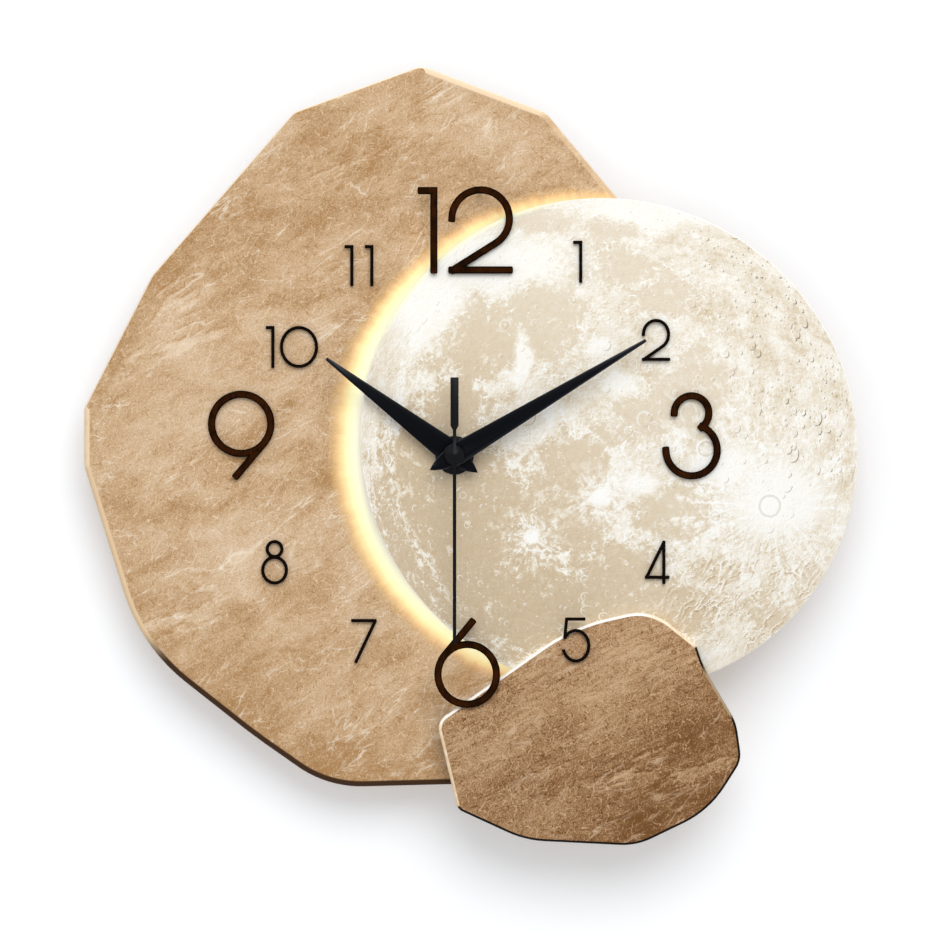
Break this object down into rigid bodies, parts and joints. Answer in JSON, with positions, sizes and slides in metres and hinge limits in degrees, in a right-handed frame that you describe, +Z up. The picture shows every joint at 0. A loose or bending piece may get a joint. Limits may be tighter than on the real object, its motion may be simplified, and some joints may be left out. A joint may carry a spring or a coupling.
{
  "type": "wooden wall clock",
  "caption": "Layered wooden wall clock: many-sided base board, round moon disc and pebble-shaped board, raised numerals, tapered hands and a battery quartz movement behind.",
  "frame": {"origin": "on the hand arbor's axis, at the flat back of the movement's rear cover, where the clock meets the wall", "axes": "+Z is up on the wall, +Y points into the wall, so the dial faces -Y, and +X is to the right as seen from the front"},
  "size_m": [0.3991, 0.0523, 0.401],
  "materials": {
    "stone_print": "printed board, satin",
    "moon_print": "printed board, satin",
    "pebble_print": "printed board, satin",
    "board_wood": "raw board, matte",
    "numeral_brown": "stained, satin",
    "hand_black": "satin black lacquer",
    "fixing_black": "satin black lacquer",
    "case_black": "fine spark texture",
    "steel": "zinc plated",
    "brass": "turned",
    "rubber": "matte",
    "wheel_white": "moulded",
    "copper": "enamelled wire",
    "circuit_green": "solder mask",
    "cell_sleeve": "plain printed sleeve"
  },
  "bodies": {
    "clock_body": {"base_board": "stone_print", "moon_board": "moon_print", "pebble_board": "pebble_print", "moon_spacer_1": "board_wood", "moon_spacer_2": "board_wood", "moon_spacer_3": "board_wood", "moon_spacer_4": "board_wood", "pebble_block": "board_wood", "numeral_12_ten": "numeral_brown", "numeral_12_unit": "numeral_brown", "numeral_1": "numeral_brown", "numeral_2": "numeral_brown", "numeral_3": "numeral_brown", "numeral_4": "numeral_brown", "numeral_5": "numeral_brown", "numeral_6": "numeral_brown", "numeral_7": "numeral_brown", "numeral_8": "numeral_brown", "numeral_9": "numeral_brown", "numeral_10_ten": "numeral_brown", "numeral_10_unit": "numeral_brown", "numeral_11_ten": "numeral_brown", "numeral_11_unit": "numeral_brown", "stand_off_12_ten": "board_wood", "stand_off_12_unit": "board_wood", "stand_off_6": "board_wood", "threaded_bush": "brass", "rubber_washer": "rubber", "hub_washer": "fixing_black", "hex_nut": "fixing_black", "hanger_plate": "steel", "lower_pad_left": "rubber", "lower_pad_right": "rubber", "movement_front_case": "case_black", "movement_rear_cover": "case_black", "middle_plate": "wheel_white", "battery_cell": "cell_sleeve", "contact_positive": "steel", "contact_negative": "steel", "circuit_board": "circuit_green", "quartz_can": "steel", "stator": "steel", "coil_core": "steel", "motor_coil": "copper"},
    "seconds": {"seconds_wheel": "wheel_white", "second_hand": "hand_black"},
    "minutes": {"centre_wheel": "brass", "minute_hand": "hand_black"},
    "hours": {"hour_wheel": "brass", "hour_hand": "hand_black"},
    "third": {"third_wheel": "wheel_white"},
    "setting": {"motion_wheel": "wheel_white", "set_knob": "case_black"},
    "intermediate": {"intermediate_wheel": "wheel_white"},
    "motor": {"rotor": "steel"}
  },
  "joints": [
    {"name": "second_hand_turn", "type": "hinge", "parent": "clock_body", "child": "seconds", "pos_m": [0, 0, 0], "axis": [0, 1, 0], "continuous": true},
    {"name": "minute_hand_turn", "type": "hinge", "parent": "clock_body", "child": "minutes", "pos_m": [0, 0, 0], "axis": [0, 1, 0], "continuous": true},
    {"name": "hour_hand_turn", "type": "hinge", "parent": "clock_body", "child": "hours", "pos_m": [0, 0, 0], "axis": [0, 1, 0], "continuous": true},
    {"name": "third_wheel_turn", "type": "hinge", "parent": "clock_body", "child": "third", "pos_m": [-0.00873, 0, 0.00504], "axis": [0, 1, 0], "continuous": true},
    {"name": "set_knob_turn", "type": "hinge", "parent": "clock_body", "child": "setting", "pos_m": [0.0052, 0, 0.00901], "axis": [0, 1, 0], "continuous": true},
    {"name": "intermediate_turn", "type": "hinge", "parent": "clock_body", "child": "intermediate", "pos_m": [0.00709, 0, -0.00125], "axis": [0, 1, 0], "continuous": true},
    {"name": "rotor_turn", "type": "hinge", "parent": "clock_body", "child": "motor", "pos_m": [0.01367, 0, 0.00114], "axis": [0, 1, 0], "continuous": true}
  ],
  "couplings": [
    {"joint": "minute_hand_turn", "follows": "second_hand_turn", "ratio": 0.016667},
    {"joint": "hour_hand_turn", "follows": "second_hand_turn", "ratio": 0.0013889},
    {"joint": "third_wheel_turn", "follows": "second_hand_turn", "ratio": -0.13333},
    {"joint": "set_knob_turn", "follows": "second_hand_turn", "ratio": -0.0055556},
    {"joint": "intermediate_turn", "follows": "second_hand_turn", "ratio": -5},
    {"joint": "rotor_turn", "follows": "second_hand_turn", "ratio": 30}
  ]
}
